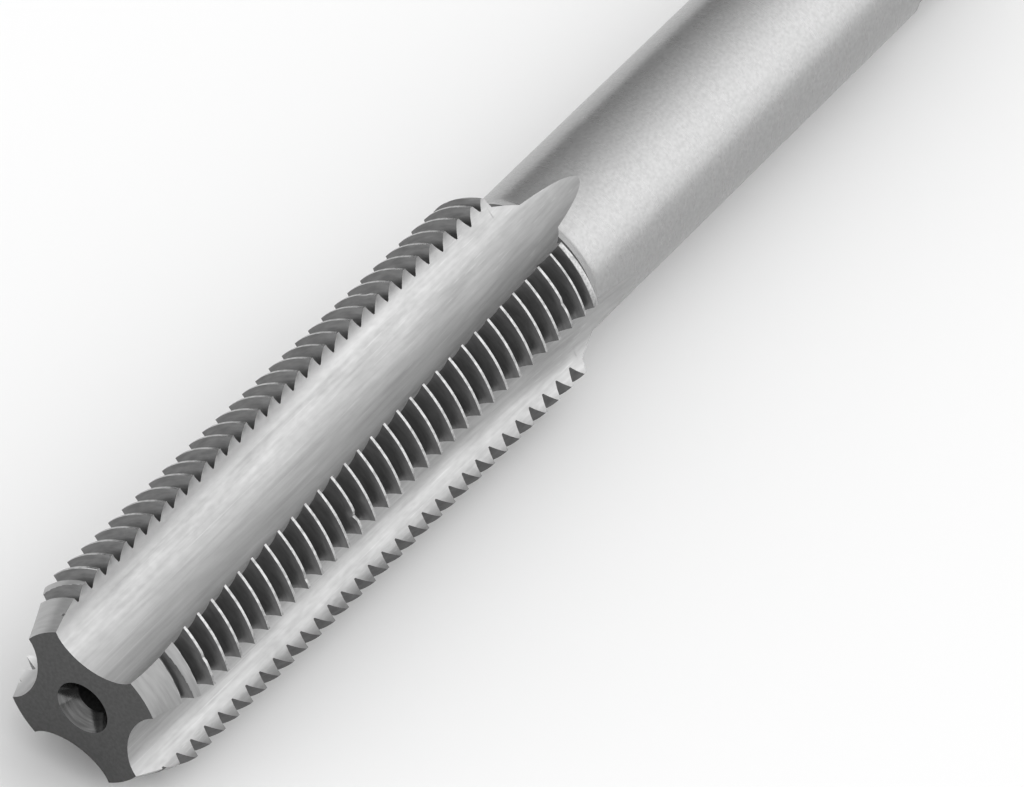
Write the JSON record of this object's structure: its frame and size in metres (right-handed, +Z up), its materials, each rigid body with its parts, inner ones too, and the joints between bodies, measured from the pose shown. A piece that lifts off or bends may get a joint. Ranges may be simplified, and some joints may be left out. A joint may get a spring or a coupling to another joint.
{
  "type": "thread tap",
  "caption": "Hand tap with a chamfered, toothed and fluted cutting end that runs out into a plain shank with a driving square, for cutting a left-hand internal thread.",
  "frame": {"origin": "on the surface that the tap lies on, under the middle of its length", "axes": "+X along the tap's axis from the cutting end to the driving square, +Z up; the tap lies on two lands with a flute straight up and a flute straight down"},
  "size_m": [0.0856, 0.011, 0.011],
  "materials": {
    "ground_steel": "bare ground tool steel, satin in the flutes and on the shank"
  },
  "bodies": {
    "root": {"thread_tap": "ground_steel"}
  },
  "joints": []
}
